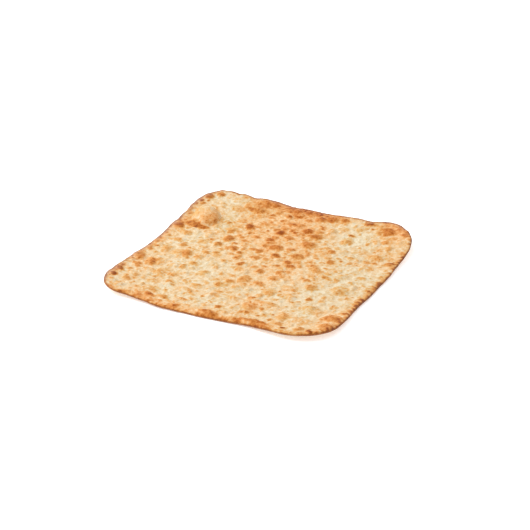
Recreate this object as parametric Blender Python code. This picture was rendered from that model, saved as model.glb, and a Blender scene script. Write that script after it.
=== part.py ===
"""Thin flatbread: one baked sheet, square with round corners, a little over 250 mm across.

The sheet is about 3 mm thick. Its corners curl up, its edge is a rounded bead, and gas in the dough has
blown blisters all over its top: one big bubble near a corner, a row of long ones along the front edge, and
many the size of a fingertip. Lengths are in metres, +Z is up, and the bread lies on the plane Z = 0.
"""

import bpy
import numpy as np

MM = 0.001

# Driving dimensions of the sheet
SIDE = 250 * MM
CORNER_RADIUS = {"right": 46 * MM, "back": 33 * MM, "left": 37 * MM, "front": 36 * MM}
SIDE_BOW = {"east": 0.3 * MM, "north": 4.0 * MM, "west": -3.3 * MM, "south": 0.0 * MM}
THICKNESS = 3.0 * MM
BEAD = 0.7 * MM
BEAD_WIDTH = 9 * MM
EDGE_ROUND = 2.4 * MM
EDGE_WOBBLE = 0.35 * MM
EDGE_WOBBLE_CELL = 7 * MM

# Swells (+) and dents (-) of the torn dough's edge: x, y, width and how far out, in mm
SOUTH_SWELLS = [
    (-82, -124, 36, -2.2), (-42, -124, 32, 2.2), (39, -124, 52, -2.6), (83, -124, 26, 2.0),
    (-89, -123, 14, -1.3), (-66, -124, 11, -0.8), (-37, -124, 14, -0.8), (74, -124, 34, 0.8),
    (101, -121, 8, -0.6)]
NORTH_SWELLS = [
    (-106, 122, 12, 1.6), (-91, 126, 9, -1.5), (-71, 127, 13, -2.8), (-50, 128, 24, 2.0),
    (-21, 128, 14, -1.2), (66, 126, 15, -2.8), (92, 124, 24, 1.8), (-104, 124, 6, -0.8),
    (-90, 125, 6, -1.1), (-53, 129, 7, -0.6), (32, 129, 24, 0.7), (57, 127, 8, -0.8), (84, 126, 6, 0.7)]
EAST_SWELLS = [(125, 30, 34, 0.9), (125, -46, 42, -1.3), (124, 90, 34, -1.2)]
WEST_SWELLS = [
    (-122, 4, 34, -1.1), (-122, 35, 16, 1.2), (-122, 99, 12, -1.2), (-121, -41, 9, 1.3),
    (-122, -14, 22, -0.6), (-121, -86, 7, -0.9), (-122, 48, 9, -0.6), (-122, 66, 8, -0.6),
    (-122, 80, 9, 0.8), (-119, 113, 6, -0.9), (-119, -105, 14, -0.5)]
EDGE_SWELLS = SOUTH_SWELLS + NORTH_SWELLS + EAST_SWELLS + WEST_SWELLS

# How the sheet warped in the oven
CORNER_LIFT = {"right": 8.2 * MM, "back": 4.6 * MM, "left": 5.9 * MM, "front": 5.4 * MM}
LIFT_REACH = 0.83
LIFT_POWER = 1.6
WAVES = [(70 * MM, 1.1 * MM, 11), (34 * MM, 0.5 * MM, 12)]
WAVES_START = 60 * MM
SETTLE = 0.3 * MM

# A blister rises by a share of its mean width, up to TALLEST. Only the big bubble is blown up past that, so
# its dome is fuller
RISE_PER_WIDTH = 0.14
TALLEST = 2.3 * MM
DOME_POWER = 1.2
FULL_DOME_POWER = 0.85
OUTLINE_WARP = 1.1 * MM
OUTLINE_WARP_CELL = 7 * MM

# Blisters that the eye picks out: x, y, length, width in mm, and the turn of the length in degrees
BIG_BUBBLE = (-96, 64, 44, 31, -64)
BIG_BUBBLE_RISE = 8.5 * MM
NEAR_BIG_BUBBLE = [(-96, 42, 26, 9, -11), (-54, 99, 20, 14, -10)]
FRONT_EDGE_BUBBLES = [
    (-66, -111, 14, 7, -35), (-52, -109, 14, 9, 0), (1, -118, 26, 11, -6), (46, -116, 38, 13, -3),
    (96, -114, 12, 10, 0), (106, -114, 12, 8, -45)]
BACK_EDGE_BUBBLES = [
    (-104, 113, 11, 10, 0), (-54, 119, 22, 11, 0), (14, 110, 14, 15, 0), (28, 114, 19, 16, 0),
    (67, 116, 15, 10, 0), (94, 106, 19, 14, -35)]
LEFT_EDGE_BUBBLES = [
    (-113, 103, 11, 11, 0), (-111, 33, 15, 12, -35), (-114, -45, 19, 13, -55), (-115, -81, 12, 9, -45),
    (-115, -94, 11, 10, -20)]
RIGHT_EDGE_BUBBLES = [(117, 45, 12, 11, 0), (113, -80, 24, 17, 0), (115, -99, 19, 15, 15)]
BACK_BLISTERS = [
    (-10, 63, 17, 16, 0), (-45, 63, 17, 12, -65), (14, 79, 15, 12, 0), (27, 70, 18, 13, 8),
    (27, 51, 19, 18, 0), (0, 32, 18, 15, 0), (-52, 29, 15, 15, 0), (-59, 48, 15, 11, -50),
    (-39, 12, 13, 11, -25), (-9, 3, 13, 10, -20), (6, 16, 14, 11, 0), (27, 24, 14, 13, 0),
    (56, 5, 18, 11, -35), (54, 49, 13, 9, -50), (59, 74, 14, 13, 0), (99, 54, 19, 15, 0)]
FRONT_BLISTERS = [
    (27, -29, 16, 12, 0), (19, -45, 15, 9, -15), (4, -44, 16, 15, 0), (33, -102, 13, 7, 0),
    (-87, -2, 13, 9, 80), (-75, -19, 22, 12, -65), (-96, -54, 19, 14, -60), (68, -32, 17, 17, 0),
    (96, -26, 20, 17, 0), (35, -92, 22, 18, 0), (86, -70, 22, 19, -20), (69, -95, 12, 14, 0),
    (36, -57, 14, 12, 0), (-79, -65, 17, 12, -60), (-99, -18, 15, 11, -60), (-98, 23, 15, 11, -30),
    (-38, -88, 19, 10, -12)]
BLISTER_GROUPS = [
    NEAR_BIG_BUBBLE, FRONT_EDGE_BUBBLES, BACK_EDGE_BUBBLES, LEFT_EDGE_BUBBLES, RIGHT_EDGE_BUBBLES,
    BACK_BLISTERS, FRONT_BLISTERS]

# The blisters between those, scattered by rule: cell of the scatter, least and greatest width
SCATTER_CELL = 13.5 * MM
SCATTER_WIDTHS = (5 * MM, 10 * MM)
SCATTER_RISE = 0.7
SCATTER_JITTER = 0.42
SCATTER_SEED = 7
SCATTER_MARGIN = 8 * MM

# The mesh: cells across the sheet before decimation, and the triangles that are kept
CELLS = 170
TRIANGLES = 11400
LATTICE = 64

HALF = SIDE / 2
CORNER_SIGNS = {"right": (1, 1), "back": (-1, 1), "left": (-1, -1), "front": (1, -1)}
SIDE_NORMALS = {"east": (1, 0), "north": (0, 1), "west": (-1, 0), "south": (0, -1)}


def soft_noise(x, y, cell, seed):
    """Smooth random hills between -1 and 1, one for about every cell."""
    lattice = np.random.default_rng(seed).uniform(-1, 1, (LATTICE, LATTICE))
    column, row = x / cell + LATTICE / 2, y / cell + LATTICE / 2
    i, j = np.floor(column).astype(int), np.floor(row).astype(int)
    s, t = column - i, row - j
    s, t = s * s * (3 - 2 * s), t * t * (3 - 2 * t)
    i0, i1, j0, j1 = i % LATTICE, (i + 1) % LATTICE, j % LATTICE, (j + 1) % LATTICE
    low = lattice[i0, j0] * (1 - s) + lattice[i1, j0] * s
    high = lattice[i0, j1] * (1 - s) + lattice[i1, j1] * s
    return low * (1 - t) + high * t


def outline():
    """The sheet's edge seen from above: angle, radius and slant of the edge there, by rising angle."""
    corners = []
    for name in ("right", "back", "left", "front"):
        sign_x, sign_y = CORNER_SIGNS[name]
        radius = CORNER_RADIUS[name]
        start = np.arctan2(sign_y, sign_x) - np.pi / 4
        turn = start + np.linspace(0, np.pi / 2, 60)
        centre = np.array([sign_x, sign_y]) * (HALF - radius)
        corners.append(centre + radius * np.column_stack([np.cos(turn), np.sin(turn)]))
    points = []
    for corner, following in zip(corners, corners[1:] + corners[:1]):
        share = np.linspace(0, 1, 120)[1:-1, None]
        points += [corner, corner[-1] * (1 - share) + following[0] * share]
    points = np.vstack(points)
    for name, (normal_x, normal_y) in SIDE_NORMALS.items():
        out = (points[:, 0] * normal_x + points[:, 1] * normal_y) / HALF
        along = (points[:, 0] * normal_y - points[:, 1] * normal_x) / HALF
        bow = SIDE_BOW[name] * (1 - along**2) * np.clip(out, 0, 1) ** 6
        points += bow[:, None] * np.array([normal_x, normal_y])
    swell = EDGE_WOBBLE * soft_noise(points[:, 0], points[:, 1], EDGE_WOBBLE_CELL, 21)
    for x, y, width, out in EDGE_SWELLS:
        away = np.hypot(points[:, 0] - x * MM, points[:, 1] - y * MM) / (width * MM / 2)
        swell += out * MM * np.exp(-(away**2))
    points *= 1 + swell[:, None] / np.hypot(*points.T)[:, None]
    angle = np.arctan2(points[:, 1], points[:, 0])
    order = np.argsort(angle)
    angle, radius = angle[order], np.hypot(*points[order].T)
    slant = 1 / np.hypot(1, np.gradient(radius, angle) / radius)
    return angle, radius, slant


def plan_grid(cells):
    """A square grid bent to fill the outline: x, y and the distance to the edge at each grid point."""
    spread = np.linspace(-1, 1, cells + 1)
    spread = np.sin(spread * np.pi / 2) * 0.12 + spread * 0.88
    u, v = np.meshgrid(spread, spread, indexing="ij")
    ring = np.maximum(abs(u), abs(v))
    turn = np.arctan2(v, u)
    angle, radius, slant = outline()
    reach = np.interp(turn, angle, radius, period=2 * np.pi)
    slant = np.interp(turn, angle, slant, period=2 * np.pi)
    x, y = reach * ring * np.cos(turn), reach * ring * np.sin(turn)
    return x, y, (1 - ring) * reach * slant


def corner_curl(x, y):
    """How far the curled corners lift the sheet."""
    lift = np.zeros_like(x)
    for name, (sign_x, sign_y) in CORNER_SIGNS.items():
        toward = np.clip(((sign_x * x + sign_y * y) / HALF - 1) / LIFT_REACH, 0, None)
        lift += CORNER_LIFT[name] * toward**LIFT_POWER
    return lift


def underside(x, y):
    """Height of the lower face before its edge is rounded: curled corners, waves and a flat middle."""
    waves = sum(tall * soft_noise(x, y, cell, seed) for cell, tall, seed in WAVES)
    from_middle = np.clip(np.hypot(x, y) / WAVES_START, 0, 1)
    return np.maximum(corner_curl(x, y) + waves * from_middle**2 - SETTLE, 0)


def named_blisters():
    """Each blister that is placed by hand, as x, y, length, width, turn and rise."""
    rows = [(*BIG_BUBBLE, BIG_BUBBLE_RISE)]
    for group in BLISTER_GROUPS:
        for x, y, length, width, turn in group:
            rise = min(TALLEST, RISE_PER_WIDTH * (length * width) ** 0.5 * MM)
            rows.append((x, y, length, width, turn, rise))
    table = np.array(rows, float)
    table[:, :4] *= MM
    table[:, 4] = np.radians(table[:, 4])
    return table


def scattered_blisters(named):
    """Blisters in the gaps between the named ones, one at most for each cell of a jittered grid."""
    rng = np.random.default_rng(SCATTER_SEED)
    reach = HALF - SCATTER_MARGIN
    rows = []
    for x in np.arange(-reach, reach, SCATTER_CELL):
        for y in np.arange(-reach, reach, SCATTER_CELL):
            jitter = rng.uniform(-SCATTER_JITTER, SCATTER_JITTER, 2)
            size, longer, turn, tall = rng.random(4)
            place = np.array([x, y]) + SCATTER_CELL * (0.5 + jitter)
            width = SCATTER_WIDTHS[0] + (SCATTER_WIDTHS[1] - SCATTER_WIDTHS[0]) * size**1.7
            length = width * (1 + 0.7 * longer**2)
            gap = np.hypot(*(named[:, :2] - place).T) - (named[:, 2] + named[:, 3]) / 4
            if gap.min() < width * 0.45 or abs(place).max() > reach:
                continue
            rise = RISE_PER_WIDTH * SCATTER_RISE * (0.7 + 0.6 * tall) * (length * width) ** 0.5
            rows.append((*place, length, width, np.pi * turn, rise))
    return np.array(rows)


def dome_height(x, y, blisters):
    """The tallest blister over each point, with outlines that wander a little."""
    warped_x = x + OUTLINE_WARP * soft_noise(x, y, OUTLINE_WARP_CELL, 31)
    warped_y = y + OUTLINE_WARP * soft_noise(x, y, OUTLINE_WARP_CELL, 32)
    height = np.zeros_like(x)
    for centre_x, centre_y, length, width, turn, rise in blisters:
        near = np.hypot(warped_x - centre_x, warped_y - centre_y) < max(length, width) / 2
        across, up = warped_x[near] - centre_x, warped_y[near] - centre_y
        along = (across * np.cos(turn) + up * np.sin(turn)) / (length / 2)
        aside = (up * np.cos(turn) - across * np.sin(turn)) / (width / 2)
        power = FULL_DOME_POWER if rise > TALLEST else DOME_POWER
        dome = rise * np.clip(1 - along**2 - aside**2, 0, 1) ** power
        height[near] = np.maximum(height[near], dome)
    return height


def quads(number):
    """The faces between the points of a numbered grid, wound to face up."""
    corners = [number[:-1, :-1], number[1:, :-1], number[1:, 1:], number[:-1, 1:]]
    return np.stack(corners, -1).reshape(-1, 4)


def sheet_mesh():
    """The whole bread as one closed mesh: a top and an underside that share the points of the edge."""
    x, y, inward = plan_grid(CELLS)
    half_thick = (THICKNESS + BEAD * np.exp(-((inward / BEAD_WIDTH) ** 2))) / 2
    rounding = np.sqrt(1 - (1 - np.clip(inward / EDGE_ROUND, 0, 1)) ** 2)
    middle = underside(x, y) + THICKNESS / 2
    named = named_blisters()
    domes = dome_height(x, y, np.vstack([named, scattered_blisters(named)]))
    top = middle + half_thick * rounding + domes * np.clip(inward / EDGE_ROUND, 0, 1)
    bottom = np.maximum(middle - half_thick * rounding, 0)

    upper = np.arange(x.size).reshape(x.shape)
    inside = np.zeros(x.shape, bool)
    inside[1:-1, 1:-1] = True
    lower = upper.copy()
    lower[inside] = x.size + np.arange(inside.sum())
    points = np.vstack([
        np.column_stack([x.ravel(), y.ravel(), top.ravel()]),
        np.column_stack([x[inside], y[inside], bottom[inside]]),
    ])
    points[:, :2] -= (points[:, :2].max(0) + points[:, :2].min(0)) / 2
    faces = np.vstack([quads(upper), quads(lower)[:, ::-1]])
    mesh = bpy.data.meshes.new("flatbread")
    mesh.from_pydata(points.tolist(), [], faces.tolist())
    mesh.shade_smooth()
    return mesh


def crust_material():
    """Pale crust, toasted to gold."""
    material = bpy.data.materials.new("toasted_crust")
    material.use_nodes = True
    shader = material.node_tree.nodes["Principled BSDF"]
    shader.inputs["Base Color"].default_value = (0.81, 0.52, 0.27, 1)
    shader.inputs["Roughness"].default_value = 0.62
    shader.inputs["Metallic"].default_value = 0
    return material


def build():
    for old in list(bpy.data.objects):
        bpy.data.objects.remove(old)
    bread = bpy.data.objects.new("flatbread", sheet_mesh())
    bpy.context.scene.collection.objects.link(bread)
    bread.data.materials.append(crust_material())
    fewer = bread.modifiers.new("fewer_triangles", "DECIMATE")
    fewer.ratio = TRIANGLES / (4 * CELLS**2)


build()
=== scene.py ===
# %% [markdown]
# # A thin flatbread, from dough sheet to toasted crust
# This lesson makes one square sheet of thin flatbread. The real one is rolled out, slapped on a hot oven
# floor and baked for a minute or two. Gas lifts the skin into blisters, and whatever stands proud browns
# first. So the lesson follows the baker: the sheet, then the blisters, then the browning that they earn.

import bpy
import numpy as np
from mathutils import Matrix, Vector


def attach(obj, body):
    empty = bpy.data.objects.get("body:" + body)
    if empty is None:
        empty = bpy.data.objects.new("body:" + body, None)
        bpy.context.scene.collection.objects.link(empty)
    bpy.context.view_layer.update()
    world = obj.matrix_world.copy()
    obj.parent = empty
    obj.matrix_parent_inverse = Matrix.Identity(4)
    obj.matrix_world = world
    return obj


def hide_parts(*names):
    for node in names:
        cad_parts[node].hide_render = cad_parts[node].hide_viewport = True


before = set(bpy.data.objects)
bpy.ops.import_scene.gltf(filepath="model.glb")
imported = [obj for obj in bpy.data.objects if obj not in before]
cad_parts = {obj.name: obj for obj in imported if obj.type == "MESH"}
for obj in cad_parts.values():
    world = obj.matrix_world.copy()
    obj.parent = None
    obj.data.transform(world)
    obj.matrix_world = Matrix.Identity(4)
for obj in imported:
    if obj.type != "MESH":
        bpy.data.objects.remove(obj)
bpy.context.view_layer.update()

# %% [markdown]
# ## The sizes of the sheet
# Everything is worked out from a few sizes of the dough sheet: its side, how round each corner is, how far
# each side bows, how thick it is. The frame's solid was made from the same sizes, so a finer mesh made
# from them lies where the solid lies. Tables are in millimetres, and MM turns them to metres.

# %% Sizes of the dough sheet
MM = 0.001
SIDE = 250 * MM
HALF = SIDE / 2
CORNER_RADIUS = {"right": 46 * MM, "back": 33 * MM, "left": 37 * MM, "front": 36 * MM}
SIDE_BOW = {"east": 0.3 * MM, "north": 4.0 * MM, "west": -3.3 * MM, "south": 0.0 * MM}
CORNER_SIGNS = {"right": (1, 1), "back": (-1, 1), "left": (-1, -1), "front": (1, -1)}
SIDE_NORMALS = {"east": (1, 0), "north": (0, 1), "west": (-1, 0), "south": (0, -1)}
THICKNESS = 3.0 * MM
BEAD = 0.7 * MM
BEAD_WIDTH = 9 * MM
EDGE_ROUND = 2.4 * MM
print("side, mm:", round(1000 * SIDE))

# %% [markdown]
# ## Noise that repeats
# Dough is never even, but a script must bake the same bread each time. Value noise does both: a lattice of
# seeded random heights, joined by a smooth curve. One small function serves the edge, the waves and the
# skin.

# %% Soft noise
LATTICE = 64


def soft_noise(x, y, cell, seed):
    """Smooth random hills between -1 and 1, one for about every cell."""
    lattice = np.random.default_rng(seed).uniform(-1, 1, (LATTICE, LATTICE))
    column, row = x / cell + LATTICE / 2, y / cell + LATTICE / 2
    i, j = np.floor(column).astype(int), np.floor(row).astype(int)
    s, t = column - i, row - j
    s, t = s * s * (3 - 2 * s), t * t * (3 - 2 * t)
    i0, i1, j0, j1 = i % LATTICE, (i + 1) % LATTICE, j % LATTICE, (j + 1) % LATTICE
    low = lattice[i0, j0] * (1 - s) + lattice[i1, j0] * s
    high = lattice[i0, j1] * (1 - s) + lattice[i1, j1] * s
    return low * (1 - t) + high * t


print("noise along a line:", np.round(soft_noise(np.linspace(0, 3, 7), np.zeros(7), 1.0, 1), 2))

# %% [markdown]
# ## The torn edge
# A hand-stretched sheet has no straight side. Its outline starts as a square with arcs for corners, and
# each side bows. Swells and dents are put where the real edge has them, and fine noise roughens the rest.
# Each swell is a place, a width and how far out it pushes. The outline is kept as a radius for each angle,
# which makes it easy to fill later.

# %% Outline of the sheet
SOUTH_SWELLS = [
    (-82, -124, 36, -2.2), (-42, -124, 32, 2.2), (39, -124, 52, -2.6), (83, -124, 26, 2.0),
    (-89, -123, 14, -1.3), (-66, -124, 11, -0.8), (-37, -124, 14, -0.8), (74, -124, 34, 0.8),
    (101, -121, 8, -0.6)]
NORTH_SWELLS = [
    (-106, 122, 12, 1.6), (-91, 126, 9, -1.5), (-71, 127, 13, -2.8), (-50, 128, 24, 2.0),
    (-21, 128, 14, -1.2), (66, 126, 15, -2.8), (92, 124, 24, 1.8), (-104, 124, 6, -0.8),
    (-90, 125, 6, -1.1), (-53, 129, 7, -0.6), (32, 129, 24, 0.7), (57, 127, 8, -0.8), (84, 126, 6, 0.7)]
EAST_SWELLS = [(125, 30, 34, 0.9), (125, -46, 42, -1.3), (124, 90, 34, -1.2)]
WEST_SWELLS = [
    (-122, 4, 34, -1.1), (-122, 35, 16, 1.2), (-122, 99, 12, -1.2), (-121, -41, 9, 1.3),
    (-122, -14, 22, -0.6), (-121, -86, 7, -0.9), (-122, 48, 9, -0.6), (-122, 66, 8, -0.6),
    (-122, 80, 9, 0.8), (-119, 113, 6, -0.9), (-119, -105, 14, -0.5)]
EDGE_SWELLS = SOUTH_SWELLS + NORTH_SWELLS + EAST_SWELLS + WEST_SWELLS
EDGE_WOBBLE = 0.35 * MM
EDGE_WOBBLE_CELL = 7 * MM
ARC_POINTS = 60
SIDE_POINTS = 120


def outline():
    """The sheet's edge seen from above: angle, radius and slant of the edge there, by rising angle."""
    corners = []
    for name in ("right", "back", "left", "front"):
        sign_x, sign_y = CORNER_SIGNS[name]
        radius = CORNER_RADIUS[name]
        start = np.arctan2(sign_y, sign_x) - np.pi / 4
        turn = start + np.linspace(0, np.pi / 2, ARC_POINTS)
        centre = np.array([sign_x, sign_y]) * (HALF - radius)
        corners.append(centre + radius * np.column_stack([np.cos(turn), np.sin(turn)]))
    points = []
    for corner, following in zip(corners, corners[1:] + corners[:1]):
        share = np.linspace(0, 1, SIDE_POINTS)[1:-1, None]
        points += [corner, corner[-1] * (1 - share) + following[0] * share]
    points = np.vstack(points)
    for name, (normal_x, normal_y) in SIDE_NORMALS.items():
        out = (points[:, 0] * normal_x + points[:, 1] * normal_y) / HALF
        along = (points[:, 0] * normal_y - points[:, 1] * normal_x) / HALF
        bow = SIDE_BOW[name] * (1 - along**2) * np.clip(out, 0, 1) ** 6
        points += bow[:, None] * np.array([normal_x, normal_y])
    swell = EDGE_WOBBLE * soft_noise(points[:, 0], points[:, 1], EDGE_WOBBLE_CELL, 21)
    for x, y, width, out in EDGE_SWELLS:
        away = np.hypot(points[:, 0] - x * MM, points[:, 1] - y * MM) / (width * MM / 2)
        swell += out * MM * np.exp(-(away**2))
    points *= 1 + swell[:, None] / np.hypot(*points.T)[:, None]
    angle = np.arctan2(points[:, 1], points[:, 0])
    order = np.argsort(angle)
    angle, radius = angle[order], np.hypot(*points[order].T)
    slant = 1 / np.hypot(1, np.gradient(radius, angle) / radius)
    return angle, radius, slant


edge_angle, edge_radius, edge_slant = outline()
print("edge length, mm:", round(1000 * float(np.sum(edge_radius * np.gradient(edge_angle) / edge_slant))))

# %% [markdown]
# ## A grid that fits the outline
# A flat grid of squares is bent to fill the outline, the way a napkin can be eased into a tray. That keeps
# the mesh free of pinched triangles. The rows crowd together at the rim, because the rim turns over in
# less than three millimetres and needs several rows to look round.

# %% Grid of the sheet
RIM_ROWS = [0, 0.22, 0.55, 1.0, 1.6, 2.4]
INNER_CELLS = 280


def grid_rows():
    """Places of the grid's rows between -1 and 1, crowded at both ends."""
    rim = 1 - np.array(RIM_ROWS) * MM / HALF
    inner = np.linspace(-rim[-1], rim[-1], INNER_CELLS + 1)[1:-1]
    return np.concatenate([-rim, inner, rim[::-1]])


def plan_grid(rows):
    """A square grid bent to fill the outline: x, y and the distance to the edge at each grid point."""
    u, v = np.meshgrid(rows, rows, indexing="ij")
    ring = np.maximum(abs(u), abs(v))
    turn = np.arctan2(v, u)
    reach = np.interp(turn, edge_angle, edge_radius, period=2 * np.pi)
    slant = np.interp(turn, edge_angle, edge_slant, period=2 * np.pi)
    return reach * ring * np.cos(turn), reach * ring * np.sin(turn), (1 - ring) * reach * slant


rows = grid_rows()
x, y, inward = plan_grid(rows)
print("grid:", x.shape, "points, cells of", round(1000 * SIDE / INNER_CELLS, 2), "mm")

# %% [markdown]
# ## How the sheet warps
# A thin bread dries from its corners in, so the corners curl up and the middle stays on the oven floor.
# Low waves run through the rest. The underside is never allowed below the floor, which gives the bread a
# flat patch to lie on.

# %% Curl and waves
CORNER_LIFT = {"right": 8.2 * MM, "back": 4.6 * MM, "left": 5.9 * MM, "front": 5.4 * MM}
LIFT_REACH = 0.83
LIFT_POWER = 1.6
WAVES = [(70 * MM, 1.1 * MM, 11), (34 * MM, 0.5 * MM, 12)]
WAVES_START = 60 * MM
SETTLE = 0.3 * MM


def underside(x, y):
    """Height of the lower face before its edge is rounded: curled corners, waves and a flat middle."""
    lift = np.zeros_like(x)
    for name, (sign_x, sign_y) in CORNER_SIGNS.items():
        toward = np.clip(((sign_x * x + sign_y * y) / HALF - 1) / LIFT_REACH, 0, None)
        lift += CORNER_LIFT[name] * toward**LIFT_POWER
    waves = sum(tall * soft_noise(x, y, cell, seed) for cell, tall, seed in WAVES)
    from_middle = np.clip(np.hypot(x, y) / WAVES_START, 0, 1)
    return np.maximum(lift + waves * from_middle**2 - SETTLE, 0)


middle = underside(x, y) + THICKNESS / 2
print("highest curl, mm:", round(1000 * float(middle.max()), 1))

# %% [markdown]
# ## The blisters that the eye picks out
# Each row below is one blister: where it is, its length and width, the turn of its length if it has one,
# and how far it browned, from 0 for raw dough to 1 for nearly charred. A list is right here,
# because these are the landmarks: the big bubble by the back corner, the long ones on the front edge, the
# dark ones in the middle.

# %% Named blisters
BIG_BUBBLE = [(-96, 64, 44, 31, -64, 0.38)]
NEAR_BIG_BUBBLE = [(-96, 42, 27, 9, -11, 0.85), (-54, 101, 22, 13, -10, 0.62)]
FRONT_EDGE_BUBBLES = [
    (-66, -111, 14, 7, -35, 0.75), (-52, -109, 14, 9, 0.6), (1, -118, 26, 11, -6, 0.72),
    (46, -117, 36, 11, -3, 0.71), (94, -114, 14, 11, 0.78), (107, -117, 13, 7, -45, 0.95)]
BACK_EDGE_BUBBLES = [
    (-104, 113, 11, 10, 0.75), (-54, 119, 22, 11, 0.66), (14, 110, 14, 15, 0.74), (25, 116, 16, 15, 0.78),
    (67, 117, 15, 10, 0.85), (91, 107, 17, 13, -35, 0.78)]
LEFT_EDGE_BUBBLES = [
    (-113, 103, 11, 11, 0.85), (-113, 34, 16, 13, -42, 0.85), (-114, -45, 19, 13, -55, 0.75),
    (-115, -81, 12, 9, -45, 0.92), (-115, -94, 11, 10, -20, 0.95)]
RIGHT_EDGE_BUBBLES = [
    (117, 45, 12, 11, 0.76), (113, -80, 24, 17, 0.7), (115, -99, 19, 15, 15, 0.52)]
BACK_BLISTERS = [
    (-10, 64, 13, 13, 0.96), (-45, 63, 17, 12, -65, 0.87), (13, 80, 13, 11, 0.86),
    (25, 71, 20, 13, 8, 0.76), (27, 51, 19, 18, 0.68), (0, 32, 18, 15, 0.74), (-52, 29, 15, 15, 0.78),
    (-59, 48, 15, 11, -50, 0.66), (-39, 12, 13, 11, -25, 0.76), (-9, 3, 13, 10, -20, 0.7),
    (7, 16, 12, 10, 0.8), (27, 24, 14, 13, 0.72), (56, 5, 18, 11, -35, 0.62), (54, 49, 13, 9, -50, 0.68),
    (59, 74, 14, 13, 0.66), (99, 54, 19, 15, 0.52)]
FRONT_BLISTERS = [
    (27, -29, 16, 12, 0.64), (19, -45, 15, 9, -15, 0.68), (2, -43, 14, 14, 0.63), (33, -102, 13, 7, 0.7),
    (-87, -2, 13, 9, 80, 0.64), (-75, -19, 22, 12, -65, 0.68), (-98, -50, 19, 12, -60, 0.66),
    (68, -30, 15, 15, 0.56), (96, -26, 20, 17, 0.46), (31, -91, 16, 16, 0.54), (86, -70, 22, 19, -20, 0.42),
    (69, -95, 12, 14, 0.6), (36, -57, 14, 12, 0.55), (-79, -65, 17, 12, -60, 0.5),
    (-99, -18, 15, 11, -60, 0.5), (-98, 23, 15, 11, -30, 0.5), (-38, -87, 19, 10, -12, 0.42)]
BLISTER_GROUPS = [
    BIG_BUBBLE, NEAR_BIG_BUBBLE, FRONT_EDGE_BUBBLES, BACK_EDGE_BUBBLES, LEFT_EDGE_BUBBLES,
    RIGHT_EDGE_BUBBLES, BACK_BLISTERS, FRONT_BLISTERS]
BIG_BUBBLE_RISE = 8.5 * MM
RISE_PER_WIDTH = 0.14
TALLEST = 2.3 * MM


def placed(marks, rise_per_width):
    """Marks as x, y, length, width, turn, rise and toast, in metres and radians. No turn means 0."""
    table = []
    for x, y, length, width, *turn, toast in marks:
        rise = min(TALLEST, rise_per_width * (length * width) ** 0.5 * MM)
        table.append((x * MM, y * MM, length * MM, width * MM, np.radians(sum(turn)), rise, toast))
    return np.array(table)


named = placed(sum(BLISTER_GROUPS, []), RISE_PER_WIDTH)
named[0, 5] = BIG_BUBBLE_RISE
print(len(named), "named blisters, the tallest", round(1000 * named[:, 5].max(), 1), "mm")

# %% [markdown]
# ## The blisters in between
# Between the landmarks the skin is covered in smaller blisters. They follow a rule: one at most for each
# cell of a jittered grid, and none where a named one already sits. Their browning comes later, from the
# warmth of the part of the sheet that they are on.

# %% Scattered blisters
SCATTER_CELL = 13.5 * MM
SCATTER_WIDTHS = (5 * MM, 10 * MM)
SCATTER_RISE = 0.9
SCATTER_JITTER = 0.42
SCATTER_SEED = 7
SCATTER_MARGIN = 8 * MM


def scattered_blisters(named):
    """Blisters in the gaps between the named ones, one at most for each cell of a jittered grid."""
    rng = np.random.default_rng(SCATTER_SEED)
    reach = HALF - SCATTER_MARGIN
    table = []
    for x in np.arange(-reach, reach, SCATTER_CELL):
        for y in np.arange(-reach, reach, SCATTER_CELL):
            jitter = rng.uniform(-SCATTER_JITTER, SCATTER_JITTER, 2)
            size, longer, turn, tall = rng.random(4)
            place = np.array([x, y]) + SCATTER_CELL * (0.5 + jitter)
            width = SCATTER_WIDTHS[0] + (SCATTER_WIDTHS[1] - SCATTER_WIDTHS[0]) * size**1.7
            length = width * (1 + 0.7 * longer**2)
            gap = np.hypot(*(named[:, :2] - place).T) - (named[:, 2] + named[:, 3]) / 4
            if gap.min() < width * 0.45 or abs(place).max() > reach:
                continue
            rise = RISE_PER_WIDTH * SCATTER_RISE * (0.7 + 0.6 * tall) * (length * width) ** 0.5
            table.append((*place, length, width, np.pi * turn, rise))
    return np.array(table)


scattered = scattered_blisters(named)
print(len(scattered), "scattered blisters")

# %% [markdown]
# ## Small toasted spots and smooth places
# Some spots on the real crust are clear landmarks but hardly stand up. They are listed the same way,
# without a turn: place, length, width, toast. They get a low rise of their own, because even a small spot
# browned only because it was a little nearer the heat. The smooth places are the opposite: bits of skin
# that lay flat and stayed pale.

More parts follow.
